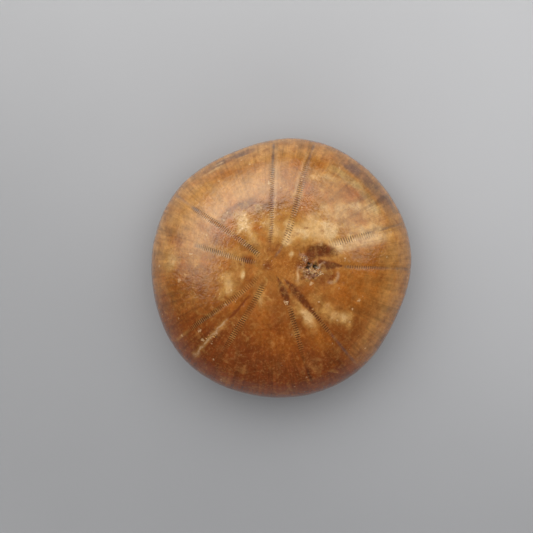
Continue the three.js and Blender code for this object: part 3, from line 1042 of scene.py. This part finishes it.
def fossil_material():
    g = Graph("polished_fossil")
    place = g.nodes.new("ShaderNodeTexCoord").outputs["Object"]
    paint = g.attribute("paint", "Color")
    fibre = g.attribute("fibre", "Vector")
    phase, across, show = g.separate(g.attribute("slit", "Vector"))
    two_strands = g.attribute("strands", "Fac")
    pale, dark, orange = g.separate(g.attribute("stain", "Vector"))
    broken, vein, streaked = g.separate(g.attribute("zone", "Vector"))

    # Noises of different sizes. Their scales are waves to a metre of the object.
    cloud = g.noise(place, 420.0, 7.0, 0.62, 0.4)
    mottle = g.noise(place, 1100.0, 6.0, 0.65, 0.3)
    grain = g.noise(place, 2700.0, 4.0, 0.6, 0.4)
    drift = g.noise(place, 620.0, 5.0, 0.55, 0.8)
    soft = g.noise(place, 700.0, 2.0, 0.5, 0.6)

    # Drifts of tone over the painted colour.
    colour = g.over(paint, TAN, g.ramp(cloud, 0.52, 0.72, 0.0, 0.40))
    colour = g.over(colour, BROWN, g.ramp(cloud, 0.48, 0.28, 0.0, 0.50))
    calm = g.ramp(streaked, 0.1, 0.9, 1.0, 0.35)
    pale_drift = g.times(g.ramp(drift, 0.54, 0.70, 0.0, 0.42), calm)
    colour = g.over(colour, STRAW, pale_drift)
    rusty_drift = g.times(g.ramp(drift, 0.44, 0.30, 0.0, 0.46), calm)
    colour = g.over(colour, RUST, rusty_drift)

    # Stains.
    orange_here = g.times(orange, g.ramp(drift, 0.35, 0.60, 0.45, 0.95))
    colour = g.over(colour, ORANGE, orange_here)
    dark_here = g.times(dark, g.ramp(cloud, 0.65, 0.35, 0.35, 1.0))
    colour = g.over(colour, RUST, g.times(dark_here, 0.85))
    wisp = g.times(g.ramp(soft, 0.34, 0.62, 0.30, 1.10), g.ramp(grain, 0.3, 0.7, 0.75, 1.15))
    pale_here = g.times(pale, wisp)
    colour = g.over(colour, STRAW, g.times(pale_here, 0.45, True))
    colour = g.over(colour, CREAM, g.ramp(pale_here, 0.25, 1.20, 0.0, 0.75))

    # Pale and dark grains.
    granule = g.ramp(grain, 0.52, 0.66)
    pale_grains = g.times(granule, g.ramp(pale, 0.0, 0.6, 0.16, 0.50))
    colour = g.over(colour, STRAW, pale_grains)
    dark_grains = g.times(g.ramp(grain, 0.46, 0.34), g.ramp(dark, 0.0, 0.5, 0.25, 0.55))
    colour = g.over(colour, RUST, dark_grains)

    # Mottling, and streaks that run down the sides.
    shade = g.ramp(mottle, 0.3, 0.7, 0.82, 1.15)
    fine_streak = g.ramp(g.noise(fibre, 2.6, 3.0, 0.6), 0.32, 0.68, -0.13, 0.13)
    broad_streak = g.ramp(g.noise(fibre, 1.0, 2.0, 0.5), 0.32, 0.68, -0.12, 0.12)
    streaks = g.times(g.math("ADD", fine_streak, broad_streak), streaked)
    tone = g.times(shade, g.math("ADD", streaks, 1.0))
    colour = g.mix(1.0, colour, g.grey(tone), "MULTIPLY")

    # Pale curls round the apex.
    ridge = g.math("ABSOLUTE", g.math("SUBTRACT", g.noise(place, 800.0, 2.0, 0.5, 1.5), 0.5))
    where_veined = g.times(vein, g.ramp(mottle, 0.42, 0.55))
    curls = g.times(g.ramp(ridge, 0.028, 0.008), where_veined)
    colour = g.over(colour, STRAW, g.times(curls, 0.45))

    # Scattered cream specks, large and small.
    for scale, rarity, strength in ((1000.0, 0.955, 0.45), (1700.0, 0.96, 0.45)):
        away = g.voronoi(place, scale, "Distance")
        pick = g.separate(g.voronoi(place, scale, "Color"))
        ragged = g.math("ADD", away, g.ramp(grain, 0.3, 0.7, -0.22, 0.22))
        size = g.ramp(pick[1], 0.0, 1.0, 0.08, 0.24)
        near = g.ramp(g.math("SUBTRACT", ragged, size), 0.08, -0.08)
        speck = g.times(near, g.ramp(pick[0], rarity, rarity + 0.02))
        colour = g.over(colour, CREAM, g.times(speck, strength))

    # The crease and the crack in the right front petal.
    crack_away, crease_run, crack_run = g.separate(g.attribute("crack", "Vector"))
    crack_away = g.math("ABSOLUTE", g.math("ADD", crack_away, g.ramp(mottle, 0.3, 0.7, -0.09, 0.09)))
    crease = g.times(g.ramp(crack_away, 0.24, 0.06), crease_run)
    colour = g.over(colour, WINE, g.times(crease, 0.75))
    flank = g.times(g.ramp(crack_away, 0.62, 0.10), crack_run)
    flank = g.times(flank, g.ramp(cloud, 0.3, 0.7, 0.20, 0.50))
    colour = g.over(colour, STRAW, flank)
    open_crack = g.times(g.ramp(crack_away, 0.24, 0.06), crack_run)
    open_crack = g.times(open_crack, g.ramp(grain, 0.38, 0.58, 0.15, 0.75))
    colour = g.over(colour, GREY_CREAM, open_crack)

    # The slits of the pore rows, dark, with pale ridges between them.
    wave = g.math("PINGPONG", phase, 0.5)
    reach = g.ramp(across, 1.15, 0.80)
    middle = g.times(g.ramp(across, 0.30, 0.12), two_strands)
    reach = g.times(reach, g.math("SUBTRACT", 1.0, g.times(middle, 0.7)))
    uneven = g.ramp(mottle, 0.36, 0.58, 0.40, 1.0)
    slit = g.times(g.times(g.ramp(wave, 0.28, 0.12), reach), show)
    slit = g.times(slit, uneven)
    comb = g.times(g.times(g.ramp(wave, 0.26, 0.40), reach), show)
    comb = g.times(comb, g.ramp(cloud, 0.40, 0.60, 0.20, 0.60))
    colour = g.over(colour, STRAW, comb)
    colour = g.over(colour, BLACK_BROWN, g.times(slit, 0.92))

    g.links.new(colour, g.shader.inputs["Base Color"])
    # Polished all over, but dull in the slits and where the stone is broken.
    rough = g.ramp(mottle, 0.3, 0.75, 0.08, 0.16)
    dull_slit = g.times(slit, ROUGHEST_SLIT)
    dull = g.math("MAXIMUM", dull_slit, g.times(broken, ROUGHEST_STONE))
    g.links.new(g.math("MAXIMUM", rough, dull), g.shader.inputs["Roughness"])
    g.shader.inputs["IOR"].default_value = STONE_IOR
    # Fine relief only: a polished leathery skin, and rubble in the broken places.
    leathery = g.math("ADD", g.noise(place, 1700.0, 3.0, 0.5, 0.5), g.times(grain, 0.4))
    fine = g.bump(leathery, 0.40, 0.00014)
    rubble = g.times(g.noise(place, 2600.0, 5.0, 0.7), broken)
    g.links.new(g.bump(rubble, 0.6, 0.0003, fine), g.shader.inputs["Normal"])
    return g.material


def crystal_material():
    g = Graph("calcite_crystals")
    place = g.nodes.new("ShaderNodeTexCoord").outputs["Object"]
    cloudy = g.noise(place, 3000.0, 3.0)
    paint = g.attribute("paint", "Color")
    colour = g.mix(1.0, paint, g.grey(g.ramp(cloudy, 0.3, 0.7, 0.75, 1.15)), "MULTIPLY")
    g.links.new(colour, g.shader.inputs["Base Color"])
    g.links.new(g.ramp(cloudy, 0.3, 0.7, 0.12, 0.35), g.shader.inputs["Roughness"])
    g.shader.inputs["IOR"].default_value = CALCITE_IOR
    return g.material


def table_material():
    g = Graph("pale_table")
    place = g.nodes.new("ShaderNodeTexCoord").outputs["Object"]
    cloud = g.noise(place, 14.0, 4.0)
    x = g.separate(place)[0]
    # Painted light: paler along +X and darker the other way, with a faint mottling of the table's own.
    tone = g.math("ADD", g.ramp(x, *TABLE_PAINTED_LIGHT_SPAN), g.ramp(cloud, 0.3, 0.7, -0.05, 0.05))
    colour = g.mix(tone, TABLE_PAINTED_SHADE, TABLE_PAINTED_LIGHT)
    g.links.new(colour, g.shader.inputs["Base Color"])
    g.shader.inputs["Roughness"].default_value = 0.55
    return g.material


# ---- Camera, table and light ----

IMAGE_UP = 27.0  # bearing that is up in the picture
CAMERA_HEIGHT = 280.0
CAMERA_OVER = (-0.69, 1.91)
LENS = 127.9
TABLE_RADIUS = 360.0
BACKDROP_RADIUS = 1500.0
BACKDROP_COLOUR = (0.46, 0.465, 0.475, 1.0)
TABLE_PAINTED_LIGHT_SPAN = (-0.045, 0.06)  # painted light: the table is painted paler along +X between these places, in metres
TABLE_PAINTED_SHADE = (0.215, 0.222, 0.232, 1.0)
TABLE_PAINTED_LIGHT = (0.355, 0.364, 0.378, 1.0)
PANEL_DISTANCE = 0.42
PANEL_FADE = 42.0  # degrees from the brightest direction to darkness
SHINE_COLOUR = (1.0, 0.93, 0.82)
FILL_COLOUR = (1.0, 0.98, 0.97)


# Soft panels: name, bearing from the picture's up, elevation, width and height as angles, the
# elevation at which it is brightest, radiance, and whether it shines in the polish or else lights
# the surface.
PANELS = [
    ("shine_top", 15.0, 29.0, 64.0, 54.0, 44.0, 4.9, True),
    ("shine_left", 70.0, 30.0, 50.0, 56.0, 42.0, 3.2, True),
    ("shine_right", -52.0, 28.0, 54.0, 50.0, 40.0, 2.6, True),
    ("light_top", 15.0, 40.0, 64.0, 54.0, 50.0, 2.9, False),
    ("light_left", 70.0, 44.0, 50.0, 56.0, 50.0, 2.3, False),
    ("light_right", -52.0, 42.0, 54.0, 50.0, 50.0, 2.8, False),
    ("light_low", 180.0, 28.0, 100.0, 40.0, 28.0, 2.2, False),
    ("light_high", 180.0, 84.0, 60.0, 60.0, 84.0, 2.3, False),
]
ROOM_COLOUR = (0.60, 0.61, 0.63, 1.0)
ROOM_STRENGTH = 0.16


def add_camera(shift):
    data = bpy.data.cameras.new("camera")
    data.sensor_width = 36.0
    data.lens = LENS
    data.clip_start = 0.005
    data.clip_end = 20.0
    camera = bpy.data.objects.new("camera", data)
    bpy.context.scene.collection.objects.link(camera)
    right = Vector((cos_deg(IMAGE_UP - 90.0), sin_deg(IMAGE_UP - 90.0), 0.0))
    up = Vector((cos_deg(IMAGE_UP), sin_deg(IMAGE_UP), 0.0))
    turned = Matrix((right, up, Vector((0.0, 0.0, 1.0)))).transposed().to_4x4()
    place = Vector((CAMERA_OVER[0] + shift[0], CAMERA_OVER[1] + shift[1], CAMERA_HEIGHT)) * MM
    camera.matrix_world = Matrix.Translation(place) @ turned
    bpy.context.scene.camera = camera


def circle_points(radius, level, count=96):
    bearing = np.linspace(0.0, 360.0, count, endpoint=False)
    flat = np.stack([radius * cos_deg(bearing), radius * sin_deg(bearing)], axis=-1)
    return np.concatenate([flat, np.full((count, 1), level)], axis=1)


def add_table():
    corners = circle_points(TABLE_RADIUS, 0.0)
    table = add_mesh("table", corners, [range(len(corners))])
    table.data.materials.append(table_material())


def add_backdrop():
    """A plain pale wall all round, which only the camera sees."""
    foot = circle_points(BACKDROP_RADIUS, -BACKDROP_RADIUS)
    head = circle_points(BACKDROP_RADIUS, BACKDROP_RADIUS)
    count = len(foot)
    faces = [(k, (k + 1) % count, count + (k + 1) % count, count + k) for k in range(count)]
    backdrop = add_mesh("backdrop", np.concatenate([foot, head]), faces)
    g = Graph("backdrop")
    g.shader.inputs["Base Color"].default_value = (0.0, 0.0, 0.0, 1.0)
    g.shader.inputs["Specular IOR Level"].default_value = 0.0
    g.shader.inputs["Emission Color"].default_value = BACKDROP_COLOUR
    g.shader.inputs["Emission Strength"].default_value = 1.0
    backdrop.data.materials.append(g.material)
    backdrop.visible_diffuse = False
    backdrop.visible_glossy = False
    backdrop.visible_transmission = False
    backdrop.visible_shadow = False


def toward(off_up, elevation):
    bearing = IMAGE_UP + off_up
    flat = cos_deg(elevation)
    return Vector((flat * cos_deg(bearing), flat * sin_deg(bearing), sin_deg(elevation)))


def add_panel(name, off_up, elevation, width_angle, height_angle, brightest, radiance, shines):
    """A soft panel, as seen from the object. It fades away from its brightest elevation."""
    width = 2.0 * PANEL_DISTANCE * np.tan(np.radians(width_angle / 2.0))
    height = 2.0 * PANEL_DISTANCE * np.tan(np.radians(height_angle / 2.0))
    half_spread = np.radians(PANEL_FADE)
    focus = np.tan(half_spread) / (np.tan(half_spread) - half_spread)
    data = bpy.data.lights.new(name, "AREA")
    data.shape = "RECTANGLE"
    data.size = width
    data.size_y = height
    data.spread = 2.0 * half_spread
    data.energy = radiance * np.pi * width * height / focus
    data.color = SHINE_COLOUR if shines else FILL_COLOUR
    panel = bpy.data.objects.new(name, data)
    bpy.context.scene.collection.objects.link(panel)
    panel.location = toward(off_up, elevation) * PANEL_DISTANCE + Vector((0.0, 0.0, 0.01))
    panel.rotation_euler = toward(off_up, brightest).to_track_quat("Z", "Y").to_euler()
    panel.visible_camera = False
    panel.visible_glossy = shines
    panel.visible_diffuse = not shines


def add_world():
    world = bpy.data.worlds.new("room")
    world.use_nodes = True
    background = world.node_tree.nodes["Background"]
    background.inputs["Color"].default_value = ROOM_COLOUR
    background.inputs["Strength"].default_value = ROOM_STRENGTH
    bpy.context.scene.world = world


# ---- Scene ----

bpy.context.scene.view_settings.view_transform = "Standard"

body, skin, shift = build_body()
body.data.materials.append(fossil_material())
crystals = build_crystals(skin, shift)
crystals.data.materials.append(crystal_material())
for piece in (body, crystals):
    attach(piece, BODY)
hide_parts(NODE)

add_camera(shift)
add_table()
add_backdrop()
add_world()
for panel in PANELS:
    add_panel(*panel)
